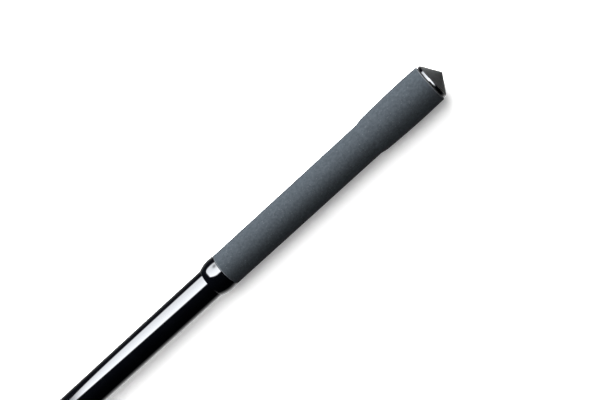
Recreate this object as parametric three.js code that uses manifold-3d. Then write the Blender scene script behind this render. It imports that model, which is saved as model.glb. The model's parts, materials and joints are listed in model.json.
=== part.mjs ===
// Telescopic microphone boom pole, collapsed, lying along X with its microphone end towards +X.
// Millimetres, +Z up. The origin is under the middle of the pole, on the surface that it lies on.
import * as THREE from "three";
import { mergeVertices } from "three/addons/utils/BufferGeometryUtils.js";
import Module from "manifold-3d";

const wasm = await Module();
wasm.setup();

// Along the pole, x = 0 is the rear edge of the foam grip.
const SIDES = 24; // facets on every turned piece, with a flat one underneath
const GAP = 0.3; // left between pieces that touch on the real pole

const WALL = 1;
const ferrule = {
  skirt: 15, reach: 8, proud: 2, curve: 45, widestAt: 10, edge: 0.5,
  pocket: 5.4, lipGap: 0.4,
};
const REST_GAP = 0.6; // between one section's ferrule and the next when the pole is collapsed
const OUTER_END = 742;
const MIDDLE_END = OUTER_END + ferrule.reach + REST_GAP + ferrule.skirt;
const HEAD_START = MIDDLE_END + ferrule.reach + REST_GAP;
const outerTube = { radius: 12.8, start: 1, end: OUTER_END };
const middleTube = { radius: 10.5, start: 62, end: MIDDLE_END };
const innerTube = { radius: 8.5, start: 126, end: HEAD_START + 12.7 };

const grip = {
  length: 217.5, radius: 14.66, wall: 1.85, edge: 0.8,
  buttRadius: 16.72, buttPeak: 22, buttLength: 57, stepLength: 7.5,
  buttFall: 0.85, // how much the butt narrows from its peak to its step
};
const collar = { length: 16, widestAt: 5.8, widest: 15.2, curve: 28, lip: 0.3 };

const cap = {
  radius: 15.15, thickness: 2.2, clearOfGrip: 0.7, bevel: 0.6,
  threadRadius: 8, threadLength: 9, socketDepth: 13,
  gasketRadius: 13.7, gasketGap: 0.2, // between the flange and the gasket
};
const cone = {
  baseRadius: 14.2, halfAngle: THREE.MathUtils.degToRad(57), tipRadius: 1.5,
  stemRadius: 4.6, stemLength: 9,
};

const head = {
  start: HEAD_START, end: HEAD_START + 22, radius: 11, neckRadius: 9.9, plugLength: 14,
  rim: 7, edge: 0.6,
};
const SMALL_THREAD = 4.76; // 3/8 inch stud
const LARGE_THREAD = 7.94; // 5/8 inch adapter
const washer = { thickness: 1, radius: 8.1 }; // it lies in a recess around the stud
const adapter = { length: 12.4, chamfer: 0.8, slotWidth: 2.2, slotDepth: 2 };
const STUD_PROUD = 10; // how far the stud stands out of the head

const finish = {
  glossBlack: { color: 0x07080b, roughness: 0.12, metalness: 0.0 },
  foam: { color: 0x34383d, roughness: 0.95, metalness: 0.0 },
  rubber: { color: 0x2a2b2b, roughness: 0.75, metalness: 0.0 },
  nylon: { color: 0xd9d6cc, roughness: 0.5, metalness: 0.0 },
  darkPlastic: { color: 0x1b1c1e, roughness: 0.45, metalness: 0.0 },
  felt: { color: 0x1f1f22, roughness: 1.0, metalness: 0.0 },
  steel: { color: 0xb6b8ba, roughness: 0.3, metalness: 1.0 },
  brass: { color: 0xb08d4f, roughness: 0.35, metalness: 1.0 },
};

// A piece turned about X from an outline of [x, radius] points, which runs forwards along its outside.
function turned(outline, sides = SIDES) {
  const points = outline.map(([x, radius]) => new THREE.Vector2(radius, x));
  const isSolid = outline[0][1] === 0 && outline.at(-1)[1] === 0;
  if (!isSolid) points.push(points[0].clone());
  return new THREE.LatheGeometry(points, sides, Math.PI / sides).rotateZ(-Math.PI / 2);
}

function ring(start, end, bore, radius) {
  return turned([[start, bore], [start, radius], [end, radius], [end, bore]]);
}

function rod(start, end, radius, sides = SIDES) {
  return turned([[start, 0], [start, radius], [end, radius], [end, 0]], sides);
}

function bar(start, end, width, height) {
  return new THREE.BoxGeometry(end - start, width, height).translate((start + end) / 2, 0, 0);
}

function toSolid(geometry) {
  const bare = geometry.clone().deleteAttribute("normal").deleteAttribute("uv");
  const merged = mergeVertices(bare, 1e-4);
  return new wasm.Manifold(
    new wasm.Mesh({
      numProp: 3,
      vertProperties: merged.attributes.position.array,
      triVerts: new Uint32Array(merged.index.array),
    }),
  );
}

function toGeometry(solid) {
  const { vertProperties, triVerts } = solid.getMesh();
  return new THREE.BufferGeometry()
    .setAttribute("position", new THREE.BufferAttribute(vertProperties, 3))
    .setIndex(new THREE.BufferAttribute(triVerts, 1));
}

const joined = (first, ...others) =>
  toGeometry(others.reduce((whole, other) => whole.add(toSolid(other)), toSolid(first)));
const cut = (body, ...tools) =>
  toGeometry(tools.reduce((left, tool) => left.subtract(toSolid(tool)), toSolid(body)));

const pole = new THREE.Group();

function place(name, geometry, look) {
  const mesh = new THREE.Mesh(geometry, new THREE.MeshStandardMaterial(look));
  mesh.name = name;
  pole.add(mesh);
}

const range = (count, point) => Array.from({ length: count + 1 }, (_, i) => point(i / count));
const smooth = (t) => t * t * (3 - 2 * t);

// The handle: tube, foam grip, the sleeve that widens the grip's butt, and the collar in front.

function tube({ start, end, radius }) {
  return ring(start, end, radius - WALL, radius);
}

// Outside radius of the grip's butt, which swells towards its peak.
function buttRadiusAt(x) {
  const share = (x - grip.buttPeak) / (grip.buttLength - grip.buttPeak);
  return grip.buttRadius - grip.buttFall * share * share;
}

const sleeveRadiusAt = (x) => buttRadiusAt(x) - grip.wall - GAP;
const SLEEVE_END = grip.buttLength - 1;

function foamGrip() {
  const { length, radius, edge, buttLength, stepLength } = grip;
  const bore = outerTube.radius + GAP;
  const outside = [
    [0, buttRadiusAt(0) - edge],
    [edge / 3, buttRadiusAt(0) - edge / 3],
    ...range(6, (t) => {
      const x = THREE.MathUtils.lerp(edge, buttLength, t);
      return [x, buttRadiusAt(x)];
    }),
    ...range(4, (t) => [
      buttLength + stepLength * t,
      THREE.MathUtils.lerp(buttRadiusAt(buttLength), radius, smooth(t)),
    ]).slice(1),
    [length - edge / 2, radius],
    [length, radius - edge / 2],
  ];
  const inside = [
    [length, bore],
    [buttLength + stepLength, bore],
    [buttLength, sleeveRadiusAt(SLEEVE_END) + GAP],
    ...range(4, (t) => {
      const x = THREE.MathUtils.lerp(SLEEVE_END, 0, t);
      return [x, sleeveRadiusAt(x) + GAP];
    }).slice(1),
  ];
  return turned([...outside, ...inside]);
}

function buttSleeve() {
  const bore = outerTube.radius + GAP;
  const outside = range(4, (t) => {
    const x = THREE.MathUtils.lerp(outerTube.start, SLEEVE_END, t);
    return [x, sleeveRadiusAt(x)];
  });
  return turned([[outerTube.start, bore], ...outside, [SLEEVE_END, bore]]);
}

// Barrel-shaped outline, from its rear edge, over its widest ring, down to the lip in front.
function barrel(rear, front, widestAt, widest, curve) {
  return range(6, (t) => {
    const x = THREE.MathUtils.lerp(rear, front, t);
    const drop = curve - Math.sqrt(curve ** 2 - (x - rear - widestAt) ** 2);
    return [x, widest - drop];
  });
}

function gripCollar() {
  const { length, widestAt, widest, curve, lip } = collar;
  const rear = grip.length + GAP;
  const front = rear + length;
  const bore = outerTube.radius + GAP;
  const outside = barrel(rear, front - lip, widestAt, widest, curve);
  return turned([[rear, bore], ...outside, [front, bore]]);
}

// Ferrule over a tube's mouth: it holds the guide bush and the wiper behind its front lip.
const bush = { depth: 36, flange: 2, flangeInset: 0.3 };
const WIPER_WIDTH = 2;

function ferruleOn({ end, radius }, slidingRadius) {
  const rear = end - ferrule.skirt;
  const front = end + ferrule.reach;
  const bore = radius + GAP;
  const pocketEnd = end + ferrule.pocket;
  const lipBore = slidingRadius + ferrule.lipGap;
  const { edge, widestAt, proud, curve } = ferrule;
  const outside = barrel(rear, front - edge, widestAt, radius + proud, curve);
  return turned([
    [rear, bore],
    ...outside,
    [front, outside.at(-1)[1] - edge],
    [front, lipBore],
    [pocketEnd, lipBore],
    [pocketEnd, bore],
  ]);
}

function guideBush({ end, radius }, slidingRadius) {
  const bore = slidingRadius + GAP;
  const liner = radius - WALL - GAP;
  return turned([
    [end - bush.depth, bore],
    [end - bush.depth, liner],
    [end + GAP, liner],
    [end + GAP, radius - bush.flangeInset],
    [end + GAP + bush.flange, radius - bush.flangeInset],
    [end + GAP + bush.flange, bore],
  ]);
}

function wiper({ end, radius }, slidingRadius) {
  const start = end + bush.flange + 2 * GAP;
  return ring(start, start + WIPER_WIDTH, slidingRadius + GAP, radius - bush.flangeInset);
}

// The screw cap at the butt.
const capFront = -cap.clearOfGrip;
const capRear = capFront - cap.thickness;

function capSocket() {
  const start = outerTube.start;
  return ring(start, start + cap.socketDepth, cap.threadRadius + GAP, outerTube.radius - WALL - GAP);
}

function capGasket() {
  return ring(capFront + cap.gasketGap, outerTube.start - GAP, cap.threadRadius + GAP, cap.gasketRadius);
}

function capFlange() {
  const stemBore = cone.stemRadius + GAP;
  const threadEnd = outerTube.start + cap.threadLength;
  return turned([
    [capRear, stemBore],
    [capRear, cap.radius - cap.bevel],
    [capRear + cap.bevel, cap.radius],
    [capFront - cap.bevel / 3, cap.radius],
    [capFront, cap.radius - cap.bevel / 3],
    [capFront, cap.threadRadius],
    [threadEnd - cap.bevel, cap.threadRadius],
    [threadEnd, cap.threadRadius - cap.bevel],
    [threadEnd, stemBore],
  ]);
}

function capCone() {
  const base = capRear - GAP;
  const { baseRadius, halfAngle, stemRadius, stemLength, tipRadius } = cone;
  const apex = base - baseRadius / Math.tan(halfAngle);
  const tipCentre = apex + tipRadius / Math.sin(halfAngle);
  const tip = range(3, (t) => {
    const angle = t * (Math.PI / 2 - halfAngle);
    return [tipCentre - tipRadius * Math.cos(angle), tipRadius * Math.sin(angle)];
  });
  return turned([
    ...tip,
    [base, baseRadius],
    [base, stemRadius],
    [base + stemLength, stemRadius],
    [base + stemLength, 0],
  ]);
}

// The inside twist locks. All of a lock lies below the bottom end of the tube that it carries: a plug
// in the tube holds a threaded stud, and a wedge on the stud is drawn into a split expander when the
// tube is twisted.
const lock = {
  plugDepth: 14, plugFlange: 3.7, flangeInset: 0.1, studBelow: 44.5, studInPlug: 10,
  expanderTop: 5, expanderLength: 29, expanderWall: 1.7, taperLength: 16, clearOfStud: 0.5,
  slot: 2.2, slotStop: 12,
  wedgeTop: 20, wedgeLength: 20, coneRun: 1, coneGap: 0.4, rib: 1.2, ribStop: 4, ribInset: 0.6,
  retainerStart: 44, retainerEnd: 41.5,
  retainerCorner: 1.7, // times the stud's radius
};

function twistLock(section, carried, around, studRadius) {
  const bottom = carried.start;
  const bore = around.radius - WALL;
  const studBore = studRadius + GAP;
  const expanderEnd = bottom - lock.expanderTop;
  const expander = { start: expanderEnd - lock.expanderLength, end: expanderEnd };
  const wideBore = bore - GAP - lock.expanderWall;
  const narrowBore = studBore + lock.clearOfStud;
  const taperEnd = expander.start + lock.taperLength;

  const plug = turned([
    [bottom - lock.plugFlange - GAP, studBore],
    [bottom - lock.plugFlange - GAP, carried.radius - lock.flangeInset],
    [bottom - GAP, carried.radius - lock.flangeInset],
    [bottom - GAP, carried.radius - WALL - GAP],
    [bottom + lock.plugDepth, carried.radius - WALL - GAP],
    [bottom + lock.plugDepth, studBore],
  ]);
  const stud = rod(bottom - lock.studBelow, bottom + lock.studInPlug, studRadius);

  const sleeve = turned([
    [expander.start, wideBore],
    [expander.start, bore - GAP],
    [expander.end, bore - GAP],
    [expander.end, narrowBore],
    [taperEnd, narrowBore],
  ]);
  const slotEnd = bottom - lock.slotStop;
  const slots = [
    bar(expander.start - 1, slotEnd, lock.slot, 4 * bore),
    bar(expander.start - 1, slotEnd, 4 * bore, lock.slot),
  ];

  const wedgeStart = bottom - lock.wedgeTop - lock.wedgeLength;
  const wedgeEnd = bottom - lock.wedgeTop;
  const slope = (wideBore - narrowBore) / lock.taperLength;
  const coneRadiusAt = (x) => wideBore - slope * (x - expander.start) - lock.coneGap;
  const coneStart = expander.start - lock.coneRun;
  const wedge = turned([
    [wedgeStart, studBore],
    [wedgeStart, coneRadiusAt(coneStart)],
    [coneStart, coneRadiusAt(coneStart)],
    [wedgeEnd, coneRadiusAt(wedgeEnd)],
    [wedgeEnd, studBore],
  ]);
  const ribReach = 2 * (bore - GAP - lock.ribInset);
  const ribEnd = wedgeEnd - lock.ribStop;
  const ribs = [bar(coneStart, ribEnd, lock.rib, ribReach), bar(coneStart, ribEnd, ribReach, lock.rib)];
  const clearStud = rod(wedgeStart - 1, wedgeEnd + 1, studBore);

  const nutStart = bottom - lock.retainerStart;
  const nutEnd = bottom - lock.retainerEnd;
  const hexagon = rod(nutStart, nutEnd, studRadius * lock.retainerCorner, 6);
  const nutBore = rod(nutStart - 1, nutEnd + 1, studBore);

  place(`${section}_lock_plug`, plug, finish.darkPlastic);
  place(`${section}_lock_stud`, stud, finish.steel);
  place(`${section}_lock_expander`, cut(sleeve, ...slots), finish.nylon);
  place(`${section}_lock_wedge`, cut(joined(wedge, ...ribs), clearStud), finish.brass);
  place(`${section}_lock_retainer`, cut(hexagon, nutBore), finish.steel);
}

// The microphone end.
const recess = washer.thickness + 2 * GAP;

function tipHead() {
  const plugRadius = innerTube.radius - WALL - GAP;
  const { start, end, radius, neckRadius, plugLength, rim, edge } = head;
  const studBore = SMALL_THREAD + GAP;
  const skirtBore = innerTube.radius + GAP;
  return turned([
    [innerTube.end - plugLength, studBore],
    [innerTube.end - plugLength, plugRadius],
    [innerTube.end + GAP, plugRadius],
    [innerTube.end + GAP, skirtBore],
    [start, skirtBore],
    [start, neckRadius - edge],
    ...range(4, (t) => [
      THREE.MathUtils.lerp(start + edge, end - rim, t),
      THREE.MathUtils.lerp(neckRadius, radius, smooth(t)),
    ]),
    [end - edge, radius],
    [end, radius - edge],
    [end, washer.radius + GAP],
    [end - recess, washer.radius + GAP],
    [end - recess, studBore],
  ]);
}

function tipStud() {
  return rod(innerTube.end - head.plugLength + 1, head.end + STUD_PROUD, SMALL_THREAD);
}

const washerStart = head.end - recess + GAP;
const adapterStart = washerStart + washer.thickness + GAP;
const adapterEnd = adapterStart + adapter.length;

function adapterWasher() {
  return ring(washerStart, washerStart + washer.thickness, SMALL_THREAD + GAP, washer.radius);
}

function threadAdapter() {
  const bore = SMALL_THREAD + GAP;
  const { chamfer, slotWidth, slotDepth } = adapter;
  const sleeve = turned([
    [adapterStart, bore],
    [adapterStart, LARGE_THREAD - chamfer],
    [adapterStart + chamfer, LARGE_THREAD],
    [adapterEnd - chamfer, LARGE_THREAD],
    [adapterEnd, LARGE_THREAD - chamfer],
    [adapterEnd, bore],
  ]);
  return cut(sleeve, bar(adapterEnd - slotDepth, adapterEnd + 1, slotWidth, 4 * LARGE_THREAD));
}

place("outer_tube", tube(outerTube), finish.glossBlack);
place("foam_grip", foamGrip(), finish.foam);
place("butt_sleeve", buttSleeve(), finish.darkPlastic);
place("grip_collar", gripCollar(), finish.glossBlack);
place("cap_socket", capSocket(), finish.darkPlastic);
place("cap_gasket", capGasket(), finish.rubber);
place("cap_flange", capFlange(), finish.glossBlack);
place("cap_cone", capCone(), finish.rubber);

for (const [name, around, sliding] of [
  ["outer", outerTube, middleTube],
  ["middle", middleTube, innerTube],
]) {
  place(`${name}_ferrule`, ferruleOn(around, sliding.radius), finish.glossBlack);
  place(`${name}_guide_bush`, guideBush(around, sliding.radius), finish.nylon);
  place(`${name}_wiper`, wiper(around, sliding.radius), finish.felt);
}

place("middle_tube", tube(middleTube), finish.glossBlack);
place("inner_tube", tube(innerTube), finish.glossBlack);
twistLock("middle", middleTube, outerTube, 4);
twistLock("inner", innerTube, middleTube, 3);

place("tip_head", tipHead(), finish.glossBlack);
place("tip_stud", tipStud(), finish.steel);
place("adapter_washer", adapterWasher(), finish.rubber);
place("thread_adapter", threadAdapter(), finish.steel);

const coneTip = capRear - GAP - cone.baseRadius / Math.tan(cone.halfAngle)
  + cone.tipRadius * (1 / Math.sin(cone.halfAngle) - 1);
const axisHeight = grip.buttRadius * Math.cos(Math.PI / SIDES);
pole.position.set(-(coneTip + adapterEnd) / 2, 0, axisHeight);

export default pole;
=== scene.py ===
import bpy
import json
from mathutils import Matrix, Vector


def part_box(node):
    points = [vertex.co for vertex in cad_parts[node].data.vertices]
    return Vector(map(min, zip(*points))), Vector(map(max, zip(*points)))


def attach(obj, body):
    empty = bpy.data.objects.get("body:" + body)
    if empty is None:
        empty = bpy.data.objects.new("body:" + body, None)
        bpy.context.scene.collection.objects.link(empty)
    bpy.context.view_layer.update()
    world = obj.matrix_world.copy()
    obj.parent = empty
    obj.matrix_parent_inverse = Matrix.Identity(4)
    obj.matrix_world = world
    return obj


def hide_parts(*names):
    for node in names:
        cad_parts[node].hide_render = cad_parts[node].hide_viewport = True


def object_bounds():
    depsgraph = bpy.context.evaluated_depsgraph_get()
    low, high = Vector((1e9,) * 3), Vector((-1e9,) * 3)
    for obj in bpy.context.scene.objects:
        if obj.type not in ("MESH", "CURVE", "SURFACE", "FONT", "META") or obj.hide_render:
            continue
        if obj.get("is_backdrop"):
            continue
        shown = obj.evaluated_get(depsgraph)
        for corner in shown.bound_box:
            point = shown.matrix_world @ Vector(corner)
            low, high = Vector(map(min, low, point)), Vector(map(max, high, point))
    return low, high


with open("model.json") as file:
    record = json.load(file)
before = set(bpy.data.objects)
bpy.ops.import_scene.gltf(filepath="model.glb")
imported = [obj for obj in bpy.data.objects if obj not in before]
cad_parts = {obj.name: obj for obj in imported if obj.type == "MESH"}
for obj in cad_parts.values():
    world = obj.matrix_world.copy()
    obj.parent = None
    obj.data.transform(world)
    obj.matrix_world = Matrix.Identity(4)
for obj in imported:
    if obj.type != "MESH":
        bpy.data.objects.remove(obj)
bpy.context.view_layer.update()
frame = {"record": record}

import json
import math

import bmesh
import bpy
from mathutils import Matrix, Vector, noise

scene = bpy.context.scene
record = frame["record"]
bodyOf = {node: body for body, nodes in record["behaviour"]["bodies"].items() for node in nodes}

# x is always millimetres from the grip's rear edge, along the pole towards the microphone end
mm = 0.001
facets = 24                                              # flat sides of the frame's round solids
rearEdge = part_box("foam_grip")[0].x
axisHeight = sum(corner.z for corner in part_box("outer_tube")) / 2


def span(node, sides=facets):
    low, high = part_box(node)
    radius = (high.y - low.y) / 2 / (1 if sides == 6 else math.cos(math.pi / sides))
    return (low.x - rearEdge) / mm, (high.x - rearEdge) / mm, radius / mm


def onAxis(x):
    return Vector((rearEdge + x * mm, 0, axisHeight))


# the camera looks down on the grip from the butt's side, with the pole rising to the right
cameraSetup = {
    "lens": 75,
    "aim": 135.7,            # x that it looks at
    "distance": 0.977,
    "lean": 11.3,            # degrees off square, with the butt nearer
    "roll": 42.356,          # degrees the pole rises towards its butt
    "sideStep": -0.95,       # mm
}


def addCamera(setup):
    lean, roll = math.radians(setup["lean"]), math.radians(setup["roll"])
    forward = Vector((math.sin(lean), 0, -math.cos(lean)))
    toButt = Vector((-math.cos(lean), 0, -math.sin(lean)))
    across = forward.cross(toButt)
    right = toButt * math.cos(roll) + across * math.sin(roll)
    up = toButt * math.sin(roll) - across * math.cos(roll)
    camera = bpy.data.objects.new("camera", bpy.data.cameras.new("camera"))
    camera.data.lens = setup["lens"]
    camera.data.clip_start, camera.data.clip_end = 0.01, 100
    scene.collection.objects.link(camera)
    place = onAxis(setup["aim"]) - forward * setup["distance"] + across * setup["sideStep"] * mm
    turn = Matrix((right, up, -forward)).transposed().to_4x4()
    camera.matrix_world = Matrix.Translation(place) @ turn
    scene.camera = camera


addCamera(cameraSetup)


# outlines and meshes
def stations(start, end, count):
    return [start + (end - start) * k / count for k in range(count + 1)]


def smooth(t):
    t = min(max(t, 0), 1)
    return t * t * (3 - 2 * t)


def softened(corners, steps=4):
    # corners are (x, radius, cut), and a corner with a cut is rounded over that length
    outline = []
    for i, (x, radius, cut) in enumerate(corners):
        here = Vector((x, radius))
        if not cut:
            outline.append((x, radius))
            continue
        before = Vector(corners[i - 1][:2])
        after = Vector(corners[(i + 1) % len(corners)][:2])
        start = here + (before - here).normalized() * cut
        end = here + (after - here).normalized() * cut
        for t in stations(0, 1, steps):
            outline.append(tuple(start * (1 - t) ** 2 + here * 2 * t * (1 - t) + end * t ** 2))
    return outline


def turned(name, outline, sides=128, relief=None, sharp=32):
    # an outline of (x, radius) closes on itself, or starts and ends on the axis
    mesh = bmesh.new()
    rings = []
    for x, radius in outline:
        if radius < 1e-6:
            rings.append([mesh.verts.new(onAxis(x))])
            continue
        ring = []
        for k in range(sides):
            angle = 2 * math.pi * k / sides              # 0 is up, and a quarter turn is +Y
            reach = relief(x, radius, angle) if relief else radius
            away = Vector((0, math.sin(angle), math.cos(angle))) * reach * mm
            ring.append(mesh.verts.new(onAxis(x) + away))
        rings.append(ring)
    pairs = list(zip(rings, rings[1:]))
    if len(rings[0]) > 1 and len(rings[-1]) > 1:
        pairs.append((rings[-1], rings[0]))
    for first, second in pairs:
        for k in range(sides):
            corners = [first[k % len(first)], first[(k + 1) % len(first)],
                       second[(k + 1) % len(second)], second[k % len(second)]]
            face = list(dict.fromkeys(corners))
            if len(face) > 2:
                mesh.faces.new(face)
    return toPiece(name, mesh, sharp)


def toPiece(name, mesh, sharp=32):
    bmesh.ops.recalc_face_normals(mesh, faces=mesh.faces)
    markEdges(mesh, sharp)
    data = bpy.data.meshes.new(name)
    mesh.to_mesh(data)
    mesh.free()
    piece = bpy.data.objects.new(name, data)
    scene.collection.objects.link(piece)
    return piece


def markEdges(mesh, sharp):
    for face in mesh.faces:
        face.smooth = True
    for edge in mesh.edges:
        edge.smooth = len(edge.link_faces) == 2 and edge.calc_face_angle() < math.radians(sharp)


def block(start, end, width, height):
    mesh = bmesh.new()
    bmesh.ops.create_cube(mesh, size=1)
    bmesh.ops.scale(mesh, vec=((end - start) * mm, width * mm, height * mm), verts=mesh.verts)
    bmesh.ops.translate(mesh, vec=onAxis((start + end) / 2), verts=mesh.verts)
    return toPiece("tool", mesh)


def carve(piece, tools, how="DIFFERENCE", sharp=32):
    for tool in tools:
        modifier = piece.modifiers.new("carve", "BOOLEAN")
        modifier.operation, modifier.object, modifier.solver = how, tool, "EXACT"
        graph = bpy.context.evaluated_depsgraph_get()
        data = bpy.data.meshes.new_from_object(piece.evaluated_get(graph))
        piece.modifiers.clear()
        piece.data = data
        bpy.data.objects.remove(tool)
    mesh = bmesh.new()
    mesh.from_mesh(piece.data)
    bmesh.ops.dissolve_degenerate(mesh, dist=1e-7, edges=mesh.edges)
    markEdges(mesh, sharp)
    mesh.to_mesh(piece.data)
    mesh.free()
    return piece


def screwThread(start, end, pitch, depth, major, inside=False):
    # right-handed V thread on the surface of that radius, which fades out at both ends
    def relief(x, radius, angle):
        if abs(radius - major) > 0.01 or not start < x < end:
            return radius
        phase = (x / pitch + angle / (2 * math.pi)) % 1
        groove = min(max((abs(phase - 0.5) * 2 - 0.12) / 0.76, 0), 1)
        fade = min(1, (x - start) / pitch, (end - x) / pitch)
        return radius + depth * groove * fade * (1 if inside else -1)
    return relief


def threadRows(start, end, pitch, each=12):
    return stations(start, end, math.ceil((end - start) / pitch * each))


def fit(piece, node, material):
    # the piece takes the node's place, body and slot
    piece.data.materials.clear()
    piece.data.materials.append(material)
    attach(piece, bodyOf[node])
    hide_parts(node)
    return piece


# materials
def newMaterial(name, values):
    material = bpy.data.materials.new(name)
    material.use_nodes = True
    shader = material.node_tree.nodes["Principled BSDF"]
    for socket, value in values.items():
        shader.inputs[socket].default_value = value
    return material, material.node_tree, shader


def connect(tree, value, socket):
    if isinstance(value, bpy.types.NodeSocket):
        tree.links.new(value, socket)
    elif socket.type == "RGBA":
        socket.default_value = (*value, 1)
    else:
        socket.default_value = value


def add(tree, kind, settings=None, **inputs):
    node = tree.nodes.new("ShaderNode" + kind)
    for name, value in (settings or {}).items():
        setattr(node, name, value)
    for name, value in inputs.items():
        connect(tree, value, node.inputs[name.replace("_", " ")])
    return node


def coordinates(tree, stretch=(1, 1, 1)):
    place = add(tree, "TexCoord")
    return add(tree, "Mapping", Vector=place.outputs["Object"], Scale=stretch).outputs["Vector"]


def noiseAt(tree, coords, size, detail=2.0, roughness=0.5):
    # size is the width in mm of a patch
    return add(tree, "TexNoise", Vector=coords, Scale=1 / (size * mm), Detail=detail,
               Roughness=roughness).outputs["Fac"]


def spread(tree, value, low, high, fromLow=0.3, fromHigh=0.7):
    node = add(tree, "MapRange", Value=value, From_Min=fromLow, From_Max=fromHigh,
               To_Min=low, To_Max=high)
    return node.outputs["Result"]


def calculate(tree, operation, *values):
    node = add(tree, "Math", {"operation": operation})
    for value, socket in zip(values, node.inputs):
        connect(tree, value, socket)
    return node.outputs[0]


def blendColour(tree, factor, first, second):
    node = add(tree, "Mix", {"data_type": "RGBA"})
    sockets = {socket.identifier: socket for socket in node.inputs}
    connect(tree, factor, sockets["Factor_Float"])
    connect(tree, first, sockets["A_Color"])
    connect(tree, second, sockets["B_Color"])
    return next(socket for socket in node.outputs if socket.identifier == "Result_Color")


def addBump(tree, shader, height, depth, after=None):
    # depth is in mm
    bump = add(tree, "Bump", Height=height, Distance=depth * mm, Strength=1.0)
    if after:
        tree.links.new(after, bump.inputs["Normal"])
    tree.links.new(bump.outputs["Normal"], shader.inputs["Normal"])
    return bump.outputs["Normal"]


def fromAxis(tree):
    # distance from the pole's axis, in mm
    parts = add(tree, "SeparateXYZ", Vector=add(tree, "TexCoord").outputs["Object"]).outputs
    height = calculate(tree, "SUBTRACT", parts["Z"], axisHeight)
    across = calculate(tree, "POWER", parts["Y"], 2.0)
    upward = calculate(tree, "POWER", height, 2.0)
    square = calculate(tree, "ADD", across, upward)
    return calculate(tree, "DIVIDE", calculate(tree, "SQRT", square), mm)


# gloss black lacquer
glossBlack = {
    "colour": (0.0006, 0.0007, 0.0011),
    "scuffed": (0.0016, 0.0018, 0.0024),
    "roughness": 0.06,
    "scuffRoughness": 0.11,
    "orangePeel": 0.0016,
    "drawLines": 0.0006,     # depth in mm of the fine lines left along a drawn tube
}


def makeGlossBlack(name, look, drawn):
    material, tree, shader = newMaterial(name, {
        "IOR": 1.6, "Coat Weight": 1.0, "Coat Roughness": 0.03, "Coat IOR": 1.5})
    coords = coordinates(tree)
    patches = spread(tree, noiseAt(tree, coords, 14, 4, 0.6), 0, 1, 0.5, 0.75)
    grain = coordinates(tree, (0.03, 1, 1) if drawn else (1, 0.2, 0.2))
    hairs = spread(tree, noiseAt(tree, grain, 0.4), 0, 1)
    scuffs = calculate(tree, "MULTIPLY", patches, hairs)
    roughness = spread(tree, scuffs, look["roughness"], look["scuffRoughness"], 0, 1)
    connect(tree, roughness, shader.inputs["Roughness"])
    connect(tree, blendColour(tree, scuffs, look["colour"], look["scuffed"]), shader.inputs["Base Color"])
    peel = addBump(tree, shader, noiseAt(tree, coords, 3.5, 2, 0.4), look["orangePeel"])
    if drawn:
        addBump(tree, shader, hairs, look["drawLines"], after=peel)
    return material


glossTurned = makeGlossBlack("glossBlackTurned", glossBlack, drawn=False)
glossDrawn = makeGlossBlack("glossBlackDrawn", glossBlack, drawn=True)

# closed-cell grip foam
gripFoam = {
    "dark": (0.0120, 0.0149, 0.0179),
    "light": (0.0201, 0.0244, 0.0286),
    "fleck": (0.055, 0.062, 0.068),
    # painted highlight: a lighter colour round both cut ends of the foam, for the light that these edges
    # catch
    "paintedEndHighlight": (0.090, 0.098, 0.106),
    "mottleSize": 2.4,       # mm
    "fleckSize": 1.0,
    "cellSize": 0.55,
    "cellDepth": 0.05,
    "skinDepth": 0.03,
}


def makeFoam(look, gripLength):
    material, tree, shader = newMaterial("gripFoam", {"Roughness": 0.92, "Specular IOR Level": 0.08})
    coords = coordinates(tree)
    mottle = spread(tree, noiseAt(tree, coords, look["mottleSize"], 4, 0.65), 0, 1, 0.34, 0.66)
    fleck = spread(tree, noiseAt(tree, coords, look["fleckSize"], 1, 0.5), 0, 0.6, 0.66, 0.8)
    base = blendColour(tree, mottle, look["dark"], look["light"])
    base = blendColour(tree, fleck, base, look["fleck"])
    along = add(tree, "SeparateXYZ", Vector=add(tree, "TexCoord").outputs["Object"]).outputs["X"]
    middle = rearEdge + gripLength / 2 * mm
    distance = calculate(tree, "ABSOLUTE", calculate(tree, "SUBTRACT", along, middle))
    half = gripLength / 2 * mm
    # the lighter band near each cut end is a painted highlight
    rim = spread(tree, distance, 0, 0.8, half - 0.75 * mm, half - 0.1 * mm)
    connect(tree, blendColour(tree, rim, base, look["paintedEndHighlight"]), shader.inputs["Base Color"])
    connect(tree, spread(tree, mottle, 0.86, 0.97, 0, 1), shader.inputs["Roughness"])
    cells = add(tree, "TexVoronoi", Vector=coords, Scale=1 / (look["cellSize"] * mm)).outputs["Distance"]
    pitted = addBump(tree, shader, cells, look["cellDepth"])
    addBump(tree, shader, noiseAt(tree, coords, 0.3, 3, 0.7), look["skinDepth"], after=pitted)
    return material


# one maker for the plain mouldings: rubber, plastic, nylon and felt
mouldings = {
    "rubber": {
        "dark": (0.0075, 0.0078, 0.0082), "light": (0.0190, 0.0197, 0.0198), "patch": 1.4,
        "roughness": (0.5, 0.7), "grain": 0.25, "grainDepth": 0.02,
        "shader": {"Specular IOR Level": 0.18, "Sheen Weight": 0.12, "Sheen Roughness": 0.35},
    },
    "darkPlastic": {
        "dark": (0.008, 0.008, 0.009), "light": (0.016, 0.016, 0.018), "patch": 6,
        "roughness": (0.36, 0.5), "grain": 0.5, "grainDepth": 0.008,
        "shader": {"IOR": 1.5},
    },
    "whiteNylon": {
        "dark": (0.60, 0.58, 0.52), "light": (0.72, 0.70, 0.64), "patch": 5,
        "roughness": (0.38, 0.55), "grain": 0.6, "grainDepth": 0.006,
        "shader": {"Subsurface Weight": 0.15, "Subsurface Scale": 0.002},
    },
    "wiperFelt": {
        "dark": (0.008, 0.008, 0.010), "light": (0.035, 0.035, 0.040), "patch": 0.5,
        "roughness": (0.95, 1.0), "grain": 0.12, "grainDepth": 0.08,
        "shader": {"Sheen Weight": 0.4, "Sheen Roughness": 0.5, "Specular IOR Level": 0.1},
    },
}


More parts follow.
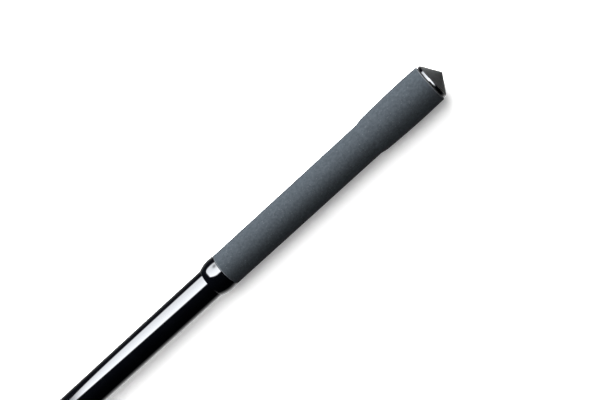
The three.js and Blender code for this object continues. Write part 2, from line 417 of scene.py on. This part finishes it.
def makeMoulding(name):
    look = mouldings[name]
    material, tree, shader = newMaterial(name, look["shader"])
    coords = coordinates(tree)
    patches = spread(tree, noiseAt(tree, coords, look["patch"], 4, 0.6), 0, 1)
    connect(tree, blendColour(tree, patches, look["dark"], look["light"]), shader.inputs["Base Color"])
    roughness = spread(tree, noiseAt(tree, coords, look["patch"] * 2, 3), *look["roughness"])
    connect(tree, roughness, shader.inputs["Roughness"])
    lathe = noiseAt(tree, coordinates(tree, (1, 0.02, 0.02)), 0.35, 2)
    lines = addBump(tree, shader, lathe, look["grainDepth"] / 2)
    addBump(tree, shader, noiseAt(tree, coords, look["grain"], 3, 0.6), look["grainDepth"], after=lines)
    return material


# bright metals: lighter on their crests, and darker and duller in patches towards their thread roots
metals = {
    "zincSteel": {
        "clean": (0.66, 0.67, 0.70), "tinted": (0.52, 0.50, 0.40), "rootDark": (0.10, 0.095, 0.09),
        "roughness": (0.2, 0.42), "scratch": 0.006,
    },
    "wedgeBrass": {
        "clean": (0.72, 0.50, 0.20), "tinted": (0.55, 0.33, 0.13), "rootDark": (0.12, 0.08, 0.04),
        "roughness": (0.22, 0.45), "scratch": 0.008,
    },
}


def makeMetal(name, key, root, crest):
    look = metals[key]
    material, tree, shader = newMaterial(name, {"Metallic": 1.0})
    coords = coordinates(tree)
    tint = spread(tree, noiseAt(tree, coords, 5, 3, 0.6), 0, 1)
    colour = blendColour(tree, tint, look["clean"], look["tinted"])
    # darker towards the thread roots, in noisy patches
    clean = spread(tree, fromAxis(tree), 0, 1, root, crest)
    rootDarkening = calculate(tree, "MULTIPLY", spread(tree, noiseAt(tree, coords, 2.5, 4, 0.65), 0.2, 0.9),
                      calculate(tree, "SUBTRACT", 1.0, clean))
    connect(tree, blendColour(tree, rootDarkening, colour, look["rootDark"]), shader.inputs["Base Color"])
    dull = calculate(tree, "ADD", rootDarkening, calculate(tree, "MULTIPLY", tint, 0.4))
    connect(tree, spread(tree, dull, *look["roughness"], 0, 1), shader.inputs["Roughness"])
    addBump(tree, shader, noiseAt(tree, coordinates(tree, (1, 0.05, 0.05)), 0.15, 3, 0.6), look["scratch"])
    return material


foam = makeFoam(gripFoam, span("foam_grip")[1])
rubber = makeMoulding("rubber")
darkPlastic = makeMoulding("darkPlastic")
whiteNylon = makeMoulding("whiteNylon")
wiperFelt = makeMoulding("wiperFelt")
print("finishes made")

# the three tubes
tubeShape = {"wall": 1.0, "edge": 0.15, "sides": 160}


def makeTube(name, node, shape):
    start, end, radius = span(node)
    bore, edge = radius - shape["wall"], shape["edge"]
    corners = [(start, bore, edge), (start, radius, edge), (end, radius, edge), (end, bore, edge)]
    fit(turned(name, softened(corners, 3), shape["sides"]), node, glossDrawn)
    return start, end, radius


_, outerEnd, outerRadius = makeTube("outerTube", "outer_tube", tubeShape)
middleStart, middleEnd, middleRadius = makeTube("middleTube", "middle_tube", tubeShape)
innerStart, innerEnd, innerRadius = makeTube("innerTube", "inner_tube", tubeShape)
print("tubes made")

# one foam sleeve, stretched at its rear over a wider butt
gripShape = {
    "slender": 14.66,        # radius ahead of the step
    "peakAt": 22,            # where the butt is widest
    "fall": 0.85,            # how much it narrows from there to the step
    "stepFrom": 57,
    "stepTo": 64.5,
    "wall": 1.85,
    "edge": 0.7,
    "row": 0.55,             # mesh size along the grip
    "sides": 176,
    "grain": 0.05,           # height of the skin's grain
    "waviness": 0.08,
    "clearance": 0.15,       # around the tube
}
thumbMark = {"at": 61, "side": 27, "depth": 0.5, "width": 1.6}      # pressed in beside the step


def makeGrip(shape, mark):
    start, end, _ = span("foam_grip")
    edge, stepFrom, stepTo = shape["edge"], shape["stepFrom"], shape["stepTo"]
    peak = axisHeight / mm
    bore = outerRadius + shape["clearance"]

    def outside(x):
        share = (min(x, stepFrom) - shape["peakAt"]) / (stepFrom - shape["peakAt"])
        butt = peak - shape["fall"] * share * share
        return butt + (shape["slender"] - butt) * smooth((x - stepFrom) / (stepTo - stepFrom))

    turn = stations(0, math.pi / 2, 5)
    rows = stations(edge, end - edge, round((end - start) / shape["row"]))
    outline = [(start + edge * (1 - math.sin(a)), outside(start) - edge * (1 - math.cos(a)))
               for a in turn[::-1]]
    outline += [(x, outside(x)) for x in rows[1:-1]]
    outline += [(end - edge * (1 - math.sin(a)), outside(end) - edge * (1 - math.cos(a)))
                for a in turn]
    outline += [(end, bore), (stepTo, bore)]
    outline += [(x, outside(x) - shape["wall"]) for x in stations(stepFrom, start, 6)]

    def relief(x, radius, angle):
        if radius < outside(x) - edge * 1.01:
            return radius
        place = Vector((x, radius * math.sin(angle), radius * math.cos(angle)))
        grain = 0.5 + 0.5 * noise.noise(place * 1.15) + 0.3 * noise.noise(place * 2.3)
        wave = 0.5 + 0.5 * noise.noise(place * 0.06)
        across = radius * (angle - math.radians(mark["side"]))
        away = ((x - mark["at"]) ** 2 + across ** 2) / mark["width"] ** 2
        return radius - shape["grain"] * grain - shape["waviness"] * wave - mark["depth"] * math.exp(-away)

    piece = turned("foamGrip", outline, shape["sides"], relief, sharp=60)
    return fit(piece, "foam_grip", foam)


makeGrip(gripShape, thumbMark)
print("grip made")

# the sleeve that widens the butt under the foam, with ribs that the foam is stretched over
sleeveShape = {"clearance": 0.12, "edge": 0.4, "ribPitch": 4.0, "ribDepth": 0.35}


def makeButtSleeve(shape):
    start, end, _ = span("butt_sleeve")
    foamInside = axisHeight / mm - gripShape["wall"] - 0.3
    bore = outerRadius + shape["clearance"]

    def outside(x):
        share = (x - gripShape["peakAt"]) / (gripShape["stepFrom"] - gripShape["peakAt"])
        groove = smooth(abs((x / shape["ribPitch"]) % 1 - 0.5) * 6 - 1.4)
        return foamInside - gripShape["fall"] * share * share - shape["ribDepth"] * (1 - groove)

    rows = stations(start + shape["edge"], end - shape["edge"], 180)
    outline = [(start, bore), (start, outside(rows[0]) - shape["edge"])]
    outline += [(x, outside(x)) for x in rows]
    outline += [(end, outside(rows[-1]) - shape["edge"]), (end, bore)]
    fit(turned("buttSleeve", outline, 96), "butt_sleeve", darkPlastic)


makeButtSleeve(sleeveShape)

# the barrel-shaped rings: the collar that finishes the grip, and the ferrule over each tube's mouth
collarShape = {"widestAt": 5.8, "widest": 15.2, "curve": 28, "lip": 0.9, "setBack": 0.4, "clearance": 0.1}
ferruleShape = {"widestAt": 10, "proud": 2, "curve": 45, "edge": 0.5, "clearance": 0.1,
                "pocket": 5.4, "lipGap": 0.4, "groove": 0.35, "grooveAt": 3.2}


def barrelRadius(x, rear, shape, widest):
    return widest - shape["curve"] + math.sqrt(shape["curve"] ** 2 - (x - rear - shape["widestAt"]) ** 2)


def makeCollar(shape):
    rear, front, _ = span("grip_collar")
    bore = outerRadius + shape["clearance"]
    barrelEnd = front - shape["setBack"] - shape["lip"]

    def barrel(x):
        return barrelRadius(x, rear, shape, shape["widest"])

    outline = [(rear, bore)]
    outline += [(x, barrel(x)) for x in stations(rear, barrelEnd, 48)]
    lip = barrel(barrelEnd) - bore
    outline += [(barrelEnd + shape["lip"] * math.sin(a), bore + lip * math.cos(a))
                for a in stations(0, math.pi / 2, 5)[1:]]
    fit(turned("gripCollar", outline, 160), "grip_collar", glossTurned)


def makeFerrule(name, node, tubeEnd, tubeRadius, slidingRadius, shape):
    rear, front, _ = span(node)
    bore = tubeRadius + shape["clearance"]
    edge = shape["edge"]
    widest = tubeRadius + shape["proud"]

    def barrel(x):
        groove = math.exp(-((x - rear - shape["grooveAt"]) / 0.3) ** 2)
        return barrelRadius(x, rear, shape, widest) - shape["groove"] * groove

    outline = [(rear, bore), (rear, barrel(rear) - 0.2)]
    outline += [(x, barrel(x)) for x in stations(rear + 0.2, front - edge, 120)]
    last = outline[-1][1]
    outline += [(front - edge * (1 - math.sin(a)), last - edge * (1 - math.cos(a)))
                for a in stations(0, math.pi / 2, 5)[1:]]
    pocketEnd = tubeEnd + shape["pocket"]
    lip = slidingRadius + shape["lipGap"]
    outline += softened([(front, lip, 0.3), (pocketEnd, lip, 0.2), (pocketEnd, bore, 0)])
    fit(turned(name, outline, 160), node, glossTurned)


makeCollar(collarShape)
makeFerrule("outerFerrule", "outer_ferrule", outerEnd, outerRadius, middleRadius, ferruleShape)
makeFerrule("middleFerrule", "middle_ferrule", middleEnd, middleRadius, innerRadius, ferruleShape)
print("collar and ferrules made")

# what guides and wipes each sliding tube in the mouth of the one around it
bushShape = {"gap": 0.2, "flange": 2, "edge": 0.25, "grooves": 5, "grooveDepth": 0.2, "keys": 3}
wiperShape = {"gap": 0.12, "fuzz": 0.12, "edge": 0.4}


def makeBush(name, node, tubeRadius, slidingRadius, shape):
    start, end, radius = span(node)
    bore = slidingRadius + shape["gap"]
    liner = tubeRadius - tubeShape["wall"] - shape["gap"]
    edge = shape["edge"]
    flangeStart = end - shape["flange"]
    corners = [(start, bore, edge), (start, liner, edge), (flangeStart, liner, 0),
               (flangeStart, radius, edge), (end, radius, edge), (end, bore, edge)]
    outline = softened(corners)
    joint = next(i for i, point in enumerate(outline) if point == (flangeStart, liner))
    rows = [(x, liner) for x in stations(start + 1, flangeStart - 1, 90)]
    pitch = (flangeStart - start - 2) / shape["grooves"]

    def relief(x, reach, angle):
        if reach != liner or x > flangeStart - 0.5:
            return reach
        groove = math.exp(-((((x - start - 1) / pitch) % 1 - 0.5) * pitch / 0.5) ** 2)
        key = math.exp(-((((angle * shape["keys"] / (2 * math.pi)) % 1) - 0.5) * 24) ** 2)
        return reach - shape["grooveDepth"] * max(groove, key)

    fit(turned(name, outline[:joint] + rows + outline[joint:], 144, relief), node, whiteNylon)


def makeWiper(name, node, slidingRadius, shape):
    start, end, radius = span(node)
    bore, edge = slidingRadius + shape["gap"], shape["edge"]
    corners = [(start, bore, edge), (start, radius, edge), (end, radius, edge), (end, bore, edge)]
    section = softened(corners, 5)

    def relief(x, reach, angle):
        place = Vector((x, reach * math.sin(angle), reach * math.cos(angle)))
        tuft = noise.noise(place * 2.1)
        return reach + shape["fuzz"] * 0.5 * (tuft - 0.6 if reach > (bore + radius) / 2 else tuft + 0.6)

    fit(turned(name, section, 180, relief, sharp=60), node, wiperFelt)


for name, around, sliding in (("outer", outerRadius, middleRadius), ("middle", middleRadius, innerRadius)):
    makeBush(name + "GuideBush", name + "_guide_bush", around, sliding, bushShape)
    makeWiper(name + "Wiper", name + "_wiper", sliding, wiperShape)
print("bushes and wipers made")

# the screw cap in the butt: a gloss flange, the rubber cone pressed into it, and their socket
capShape = {"pitch": 1.5, "depth": 0.8, "bevel": 0.4, "lowBevel": 0.35, "threadRadius": 8,
            "stemBore": 4.9, "socketGap": 0.3}
coneShape = {"base": 14.2, "halfAngle": 57, "tip": 1.5, "edge": 0.35, "grain": 0.06,
             "stem": 4.6, "stemLength": 9, "neck": 0.35, "barbs": 3}


def makeCapSocket(shape):
    start, end, radius = span("cap_socket")
    bore = shape["threadRadius"] + shape["socketGap"]
    outline = [(start, radius - 0.4), (start + 0.4, radius), (end - 0.4, radius), (end, radius - 0.4)]
    outline += [(x, bore) for x in threadRows(start, end, shape["pitch"])[::-1]]
    relief = screwThread(start, end, shape["pitch"], shape["depth"], bore, inside=True)
    fit(turned("capSocket", outline, 112, relief), "cap_socket", darkPlastic)


def makeCapGasket(shape):
    start, end, radius = span("cap_gasket")
    bore = shape["threadRadius"] + shape["socketGap"]
    cut = (end - start) * 0.45
    corners = [(start, bore, cut), (start, radius, cut), (end, radius, cut), (end, bore, cut)]
    fit(turned("capGasket", softened(corners, 6), 128, sharp=60), "cap_gasket", rubber)


def makeCapFlange(shape):
    rear, threadEnd, radius = span("cap_flange")
    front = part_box("cap_gasket")[0].x / mm - rearEdge / mm - 0.2
    thread, bore = shape["threadRadius"], shape["stemBore"]
    rim = softened([(rear, bore, 0.15), (rear, radius, shape["bevel"]),
                    (front, radius, shape["lowBevel"]), (front, thread, 0)], 7)
    rows = [(x, thread) for x in threadRows(front + 0.4, threadEnd - 0.5, shape["pitch"])]
    outline = rim + rows + softened([(threadEnd, thread - 0.5, 0), (threadEnd, bore, 0.3)])
    relief = screwThread(front + 0.6, threadEnd - 0.5, shape["pitch"], shape["depth"], thread)
    fit(turned("capFlange", outline, 144, relief), "cap_flange", glossTurned)


def makeCapCone(shape):
    apex, stemEnd, _ = span("cap_cone")
    half = math.radians(shape["halfAngle"])
    base = stemEnd - shape["stemLength"]
    tipCentre = apex + shape["tip"]
    outline = [(tipCentre - shape["tip"] * math.cos(a), shape["tip"] * math.sin(a))
               for a in stations(0, math.pi / 2 - half, 6)]
    (x0, r0), (x1, r1) = outline[-1], (base - shape["edge"], shape["base"] - 0.05)
    outline += [(x0 + (x1 - x0) * t, r0 + (r1 - r0) * t) for t in stations(0, 1, 30)[1:]]
    outline += [(base, shape["base"]), (base, shape["stem"])]
    neck = shape["stem"] - shape["neck"]
    for k in range(shape["barbs"]):                       # they hold the stem in the flange
        barb = base + shape["stemLength"] * (k + 1) / (shape["barbs"] + 1)
        outline += [(barb - 0.8, neck), (barb, shape["stem"]), (barb + 0.15, neck)]
    outline += [(stemEnd - 0.6, neck), (stemEnd, neck - 0.75), (stemEnd, 0)]

    def relief(x, radius, angle):
        if x > base - 0.4:
            return radius
        place = Vector((x, radius * math.sin(angle), radius * math.cos(angle)))
        return radius - shape["grain"] * (0.5 + 0.5 * noise.noise(place * 1.6))

    fit(turned("capCone", outline, 144, relief), "cap_cone", rubber)


makeCapSocket(capShape)
makeCapGasket(capShape)
makeCapFlange(capShape)
makeCapCone(coneShape)
print("cap made")

# inside twist locks: plug, stud, split expander, wedge and the nut that keeps the wedge on
lockShape = {
    "plugFlange": 3.7, "plugGrooves": 4,
    "slot": 2.2, "slotStop": 12, "expanderWall": 1.7, "taperLength": 16, "expanderGrooves": 9,
    "coneRun": 1, "rib": 1.2, "ribStop": 4,
    "gap": 0.3, "edge": 0.3, "studSides": 56,
}


def makeLock(section, bottom, carriedRadius, aroundRadius, studRadius, pitch, shape):
    gap, edge = shape["gap"], shape["edge"]
    studDepth = pitch * 0.6
    bore = aroundRadius - tubeShape["wall"]
    tapped = studRadius + 0.15
    zinc = makeMetal(section + "ZincSteel", "zincSteel", studRadius - studDepth, studRadius)
    brass = makeMetal(section + "WedgeBrass", "wedgeBrass", studRadius, studRadius + 2.5)

    # plug: its flange butts on the tube's end, and its body is ringed with glue grooves
    start, end, flange = span(section + "_lock_plug")
    body = carriedRadius - tubeShape["wall"] - gap
    flangeEnd = start + shape["plugFlange"]
    corners = [(start, tapped, 0.4), (start, flange, edge), (flangeEnd, flange, edge), (flangeEnd, body, 0)]
    outline = softened(corners)
    outline += [(x, body) for x in stations(flangeEnd + 0.5, end - 0.5, 70)]
    outline += softened([(end, body - 0.5, 0), (end, tapped, 0.4)])
    pitchOfGrooves = (end - flangeEnd) / shape["plugGrooves"]

    def glueGrooves(x, radius, angle):
        groove = math.exp(-((((x - flangeEnd) / pitchOfGrooves) % 1 - 0.5) * pitchOfGrooves / 0.45) ** 2)
        return radius - 0.35 * groove if radius == body else radius

    fit(turned(section + "LockPlug", outline, 112, glueGrooves), section + "_lock_plug", darkPlastic)

    start, end, _ = span(section + "_lock_stud")
    chamfer = studDepth
    outline = [(start, 0), (start, studRadius - chamfer)]
    outline += [(x, studRadius) for x in threadRows(start + chamfer, end - chamfer, pitch, 10)]
    outline += [(end, studRadius - chamfer), (end, 0)]
    relief = screwThread(start + chamfer, end - chamfer, pitch, studDepth, studRadius)
    fit(turned(section + "LockStud", outline, shape["studSides"], relief), section + "_lock_stud", zinc)

    # expander: a split sleeve, tapered inside, with fine rings that bite on the tube's bore
    start, end, outer = span(section + "_lock_expander")
    wide, narrow = bore - gap - shape["expanderWall"], studRadius + 0.8
    taperEnd = start + shape["taperLength"]
    pitchOfRings = (end - start - 2) / shape["expanderGrooves"]
    outline = softened([(start, wide, edge), (start, outer, edge)])
    root = outer - 0.3
    for k in range(shape["expanderGrooves"]):
        at = start + 1 + pitchOfRings * (k + 0.5)
        outline += softened([(at - 0.45, outer, 0.1), (at - 0.3, root, 0.1),
                             (at + 0.3, root, 0.1), (at + 0.45, outer, 0.1)], 2)
    outline += softened([(end, outer, edge), (end, narrow, edge), (taperEnd, narrow, 0)])
    sleeve = turned(section + "LockExpander", outline, 112)
    slotEnd = bottom - shape["slotStop"]
    slots = [block(start - 1, slotEnd, shape["slot"], 4 * bore),
             block(start - 1, slotEnd, 4 * bore, shape["slot"])]
    fit(carve(sleeve, slots), section + "_lock_expander", whiteNylon)

    # wedge: a threaded cone whose ribs run in the expander's slots, so that it can't turn
    wedgeStart, wedgeEnd, _ = span(section + "_lock_wedge")
    coneStart = start - shape["coneRun"]
    slope = (wide - narrow) / shape["taperLength"]

    def coneRadius(x):
        return wide - slope * (x - start) - gap - 0.1

    outline = softened([(wedgeStart, coneRadius(coneStart), 0.5), (coneStart, coneRadius(coneStart), 0.2),
                        (wedgeEnd, coneRadius(wedgeEnd), 0.2)])
    outline = [(wedgeStart, tapped)] + outline + [(wedgeEnd, tapped)]
    wedge = turned(section + "LockWedge", outline, 112)
    reach = 2 * (bore - gap - 0.6)
    ribs = [block(coneStart, wedgeEnd - shape["ribStop"], shape["rib"], reach),
            block(coneStart, wedgeEnd - shape["ribStop"], reach, shape["rib"])]
    carve(wedge, ribs, "UNION")
    drill = turned("drill", [(wedgeStart - 1, 0), (wedgeStart - 1, tapped), (wedgeEnd + 1, tapped),
                             (wedgeEnd + 1, 0)], 112)
    fit(carve(wedge, [drill]), section + "_lock_wedge", brass)

    # retainer: a hexagon nut, chamfered on both faces
    start, end, corner = span(section + "_lock_retainer", 6)
    thickness = end - start
    faceRadius = corner * 0.93

    def hexagon(x, radius, angle):
        if radius < corner * 0.8:
            return radius
        flat = corner * math.cos(math.pi / 6) / math.cos((angle % (math.pi / 3)) - math.pi / 6)
        chamferReach = faceRadius + min(x - start, end - x) / thickness * 2.2
        return min(flat, chamferReach)

    hexRows = [(x, corner) for x in stations(start, end, 16)]
    outline = [(start, tapped)] + hexRows + [(end, tapped)]
    fit(turned(section + "LockRetainer", outline, 180, hexagon), section + "_lock_retainer", zinc)


makeLock("middle", middleStart, middleRadius, outerRadius, 4, 1.25, lockShape)
makeLock("inner", innerStart, innerRadius, middleRadius, 3, 1.0, lockShape)
print("twist locks made")

# the microphone end: head, stud, seal and thread adapter
headShape = {"neck": 9.9, "rim": 7, "edge": 0.6, "flutes": 44, "fluteDepth": 0.28, "recessGap": 0.3}
studShape = {"pitch": 1.5875, "depth": 0.85, "bore": 5.0}
adapterShape = {"pitch": 0.9407, "depth": 0.5, "slotWidth": 2.2, "slotDepth": 2, "chamfer": 0.8}


def makeHead(shape):
    plugStart, end, radius = span("tip_head")
    skirt = span("middle_ferrule")[1] + 0.6
    plugRadius = innerRadius - tubeShape["wall"] - 0.2
    recess = (end - span("adapter_washer")[0]) + 0.1
    washerRadius = span("adapter_washer")[2] + shape["recessGap"]
    rimStart = end - shape["rim"]

    def flare(x):
        return shape["neck"] + (radius - shape["neck"]) * smooth((x - skirt) / (rimStart - skirt))

    shoulder, socket = innerEnd + 0.2, innerRadius + 0.1
    corners = [(plugStart, studShape["bore"], 0), (plugStart, plugRadius, 0.4),
               (shoulder, plugRadius, 0), (shoulder, socket, 0), (skirt, socket, 0.2)]
    outline = softened(corners) + [(skirt, flare(skirt) - 0.4), (skirt + 0.12, flare(skirt) - 0.12)]
    outline += [(x, flare(x)) for x in stations(skirt + 0.4, rimStart, 24)]
    outline += [(x, radius) for x in stations(rimStart, end - shape["edge"], 28)[1:]]
    outline += softened([(end, radius - shape["edge"], 0.2), (end, washerRadius, 0.2),
                         (end - recess, washerRadius, 0), (end - recess, studShape["bore"], 0)])

    def relief(x, reach, angle):
        if reach != radius:
            return reach
        fade = smooth((x - rimStart - 0.4) / 0.8) * smooth((end - 1.2 - x) / 0.8)
        flute = abs(math.sin(angle * shape["flutes"] / 2)) ** 0.7
        return reach - shape["fluteDepth"] * fade * (1 - flute)

    fit(turned("tipHead", outline, 352, relief), "tip_head", glossTurned)


def makeTipStud(shape):
    start, end, radius = span("tip_stud")
    chamfer = shape["depth"]
    outline = [(start, 0), (start, radius - chamfer)]
    outline += [(x, radius) for x in threadRows(start + chamfer, end - chamfer, shape["pitch"])]
    outline += [(end, radius - chamfer), (end, 0)]
    relief = screwThread(start + chamfer, end - chamfer, shape["pitch"], shape["depth"], radius)
    zinc = makeMetal("tipZincSteel", "zincSteel", radius - shape["depth"], radius)
    fit(turned("tipStud", outline, 80, relief), "tip_stud", zinc)


def makeWasher():
    start, end, radius = span("adapter_washer")
    bore = studShape["bore"]
    corners = [(start, bore, 0.3), (start, radius, 0.35), (end, radius, 0.35), (end, bore, 0.3)]
    fit(turned("adapterWasher", softened(corners, 5), 112, sharp=60), "adapter_washer", rubber)


def makeAdapter(shape):
    start, end, radius = span("thread_adapter")
    chamfer, bore = shape["chamfer"], studShape["bore"]
    outline = [(start, bore + 0.5), (start, radius - chamfer)]
    outline += [(x, radius) for x in threadRows(start + chamfer, end - chamfer, shape["pitch"])]
    outline += [(end, radius - chamfer), (end, bore + 0.5)]
    outline += [(x, bore) for x in threadRows(start + 0.5, end - 0.5, studShape["pitch"])[::-1]]
    outside = screwThread(start + chamfer, end - chamfer, shape["pitch"], shape["depth"], radius)
    inside = screwThread(start + 0.5, end - 0.5, studShape["pitch"], studShape["depth"], bore, inside=True)

    def threads(x, reach, angle):
        return inside(x, outside(x, reach, angle), angle)

    body = turned("threadAdapter", outline, 112, threads)
    slot = block(end - shape["slotDepth"], end + 1, shape["slotWidth"], 4 * radius)
    zinc = makeMetal("adapterZincSteel", "zincSteel", radius - shape["depth"], radius)
    fit(carve(body, [slot]), "thread_adapter", zinc)


makeHead(headShape)
makeTipStud(studShape)
makeWasher()
makeAdapter(adapterShape)
print("microphone end made")

# studio: a white floor and one big softbox on the -Y side, whose upper edge is almost overhead.
# Angles are degrees from overhead, towards -Y in the studio and towards +Y in the reflections.
studio = {
    "floorSize": 30,
    "floorColour": 0.9,
    "floorGlow": 0.2,
    "fill": 0.25,
    "sideLight": {"from": 50, "to": 84, "soft": 8, "strength": 31},
    "topLight": {"from": 8, "to": 35, "soft": 3, "strength": 5.1},
    "behind": 22,            # how far the light reaches along the pole, in degrees
    "ahead": 62,
}
softbox = {
    "middle": 150, "halfLength": 740,                    # mm along the pole
    "flatTop": 200,                                      # from the middle, before the corners round off
    "high": -7, "highDrop": 25, "low": -90, "lowRise": 33,
    "soft": 0.11, "brightHigh": 12.5, "brightLow": 6.4, "colour": (0.92, 0.95, 1.0),
    "stand": {"x": 262, "angle": -64, "width": 120, "height": 12, "dim": 0.72},     # dark, in front of it
}
# start and end are mm along the pole, and the brightness is full at fullAt
buttGlow = {"start": -1200, "end": 85, "from": -32, "to": 36, "fadeFrom": 0.56, "bright": 12, "soft": 0.03,
            "reach": 0.98}
litFloor = {"start": -1200, "end": 2600, "from": 105, "to": 178, "fullAt": 147, "bright": 0.75}
dimFloor = {"start": -1200, "end": 2600, "from": -115, "to": -175, "fullAt": -170, "bright": 0.6}
cardReach = 1.0              # m from the pole


def makeFloor(setup):
    mesh = bmesh.new()
    bmesh.ops.create_grid(mesh, x_segments=1, y_segments=1, size=setup["floorSize"] / 2)
    floor = toPiece("floor", mesh)
    floor.location.z = min(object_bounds()[0].z, 0)
    level, glow = setup["floorColour"], setup["floorGlow"]
    material, _, _ = newMaterial("whiteFloor", {
        "Base Color": (level, level, level, 1), "Roughness": 0.9, "Specular IOR Level": 0.0,
        "Emission Color": (1, 1, 1, 1), "Emission Strength": glow})
    floor.data.materials.append(material)
    for ray in ("glossy", "diffuse", "shadow"):
        setattr(floor, "visible_" + ray, False)
    floor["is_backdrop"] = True


def addCard(name, edges, brightness, colour, columns=96, rows=64, reach=cardReach):
    # a glowing part of a cylinder around the pole, which only the gloss sees
    mesh = bmesh.new()
    glow = mesh.loops.layers.float_color.new("glow")
    grid = []
    for u in stations(0, 1, columns):
        x, low, high = edges(u)
        row = []
        for t in stations(0, 1, rows):
            angle = math.radians(low + (high - low) * t)
            away = Vector((0, math.sin(angle), math.cos(angle))) * reach
            row.append((mesh.verts.new(onAxis(x) + away), brightness(u, t)))
        grid.append(row)
    for row, following in zip(grid, grid[1:]):
        for k in range(rows):
            corners = [row[k], row[k + 1], following[k + 1], following[k]]
            face = mesh.faces.new([vertex for vertex, _ in corners])
            for loop, (_, level) in zip(face.loops, corners):
                loop[glow] = (level, level, level, 1)
    card = toPiece(name, mesh)
    material = bpy.data.materials.new(name)
    material.use_nodes = True
    tree = material.node_tree
    tree.nodes.clear()
    level = add(tree, "VertexColor", {"layer_name": "glow"}).outputs["Color"]
    both = add(tree, "AddShader")                        # clear, so that overlapping cards add up
    tree.links.new(add(tree, "Emission", Color=colour, Strength=level).outputs[0], both.inputs[0])
    tree.links.new(add(tree, "BsdfTransparent").outputs[0], both.inputs[1])
    tree.links.new(both.outputs[0], add(tree, "OutputMaterial").inputs["Surface"])
    card.data.materials.append(material)
    for ray in ("camera", "diffuse", "transmission", "volume_scatter", "shadow"):
        setattr(card, "visible_" + ray, False)
    card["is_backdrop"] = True


def addSoftbox(box):
    def edges(u):
        offset = box["halfLength"] * (2 * u - 1)
        corner = max(0, abs(offset) - box["flatTop"]) / (box["halfLength"] - box["flatTop"])
        high = box["high"] - box["highDrop"] * corner ** 1.7
        low = box["low"] + box["lowRise"] * corner ** 7
        return box["middle"] + offset, low, high

    def brightness(u, t):
        x, low, high = edges(u)
        stand = box["stand"]
        away = ((x - stand["x"]) / stand["width"]) ** 2
        away += ((low + (high - low) * t - stand["angle"]) / stand["height"]) ** 2
        shade = 1 - stand["dim"] * math.exp(-away)
        edge = smooth(min(t, 1 - t) / box["soft"]) * smooth(min(u, 1 - u) / box["soft"] * 2)
        return shade * edge * (box["brightLow"] + (box["brightHigh"] - box["brightLow"]) * t)

    addCard("softbox", edges, brightness, box["colour"])


def addButtGlow(part):
    # the softbox's light fades out over the top of the butt's end
    def edges(u):
        return part["start"] + (part["end"] - part["start"]) * u, part["from"], part["to"]

    def brightness(u, t):
        fade = 1 - smooth((t - part["fadeFrom"]) / (1 - part["fadeFrom"]))
        return part["bright"] * fade * smooth(t / 0.2) * smooth(min(u, 1 - u) / part["soft"])

    addCard("buttGlow", edges, brightness, softbox["colour"], reach=part["reach"])


def addFloorReflection(name, part):
    def edges(u):
        return part["start"] + (part["end"] - part["start"]) * u, part["from"], part["to"]

    def brightness(u, t):
        rise = t * (part["to"] - part["from"]) / (part["fullAt"] - part["from"])
        return min(rise, 1) * smooth((1 - t) / 0.2) * smooth(min(u, 1 - u) / 0.1) * part["bright"]

    addCard(name, edges, brightness, (1.0, 1.0, 1.0), columns=24)


def makeWorld(setup):
    # the same softbox as two patches of sky for the matt surfaces, over an even fill
    world = bpy.data.worlds.new("world")
    scene.world = world
    world.use_nodes = True
    tree = world.node_tree
    background = tree.nodes["Background"]
    background.inputs["Color"].default_value = (1, 1, 1, 1)
    parts = add(tree, "SeparateXYZ", Vector=add(tree, "TexCoord").outputs["Generated"]).outputs
    tilt = calculate(tree, "ARCTAN2", calculate(tree, "MULTIPLY", parts["Y"], -1.0), parts["Z"])
    behind, ahead = (math.sin(math.radians(setup[key])) for key in ("behind", "ahead"))
    ends = calculate(tree, "MULTIPLY", spread(tree, parts["X"], 0, 1, -behind - 0.1, -behind + 0.1),
                     spread(tree, parts["X"], 1, 0, ahead - 0.1, ahead + 0.1))
    light = setup["fill"]
    for patch in (setup["sideLight"], setup["topLight"]):
        lowEdge, highEdge, soft = (math.radians(patch[key]) for key in ("from", "to", "soft"))
        shape = calculate(tree, "MULTIPLY", spread(tree, tilt, 0, 1, lowEdge - soft, lowEdge + soft),
                          spread(tree, tilt, 1, 0, highEdge - soft, highEdge + soft))
        shape = calculate(tree, "MULTIPLY", shape, ends)
        light = calculate(tree, "MULTIPLY_ADD", shape, patch["strength"], light)
    seen = add(tree, "LightPath").outputs["Is Camera Ray"]
    strength = add(tree, "Mix", {"data_type": "FLOAT"}, Factor=seen)
    connect(tree, light, strength.inputs[2])
    connect(tree, 1.0, strength.inputs[3])
    tree.links.new(strength.outputs[0], background.inputs["Strength"])
    world.cycles_visibility.glossy = False


makeFloor(studio)
addSoftbox(softbox)
addButtGlow(buttGlow)
addFloorReflection("litFloor", litFloor)
addFloorReflection("dimFloor", dimFloor)
makeWorld(studio)
scene.view_settings.view_transform = "Standard"
print("studio made")
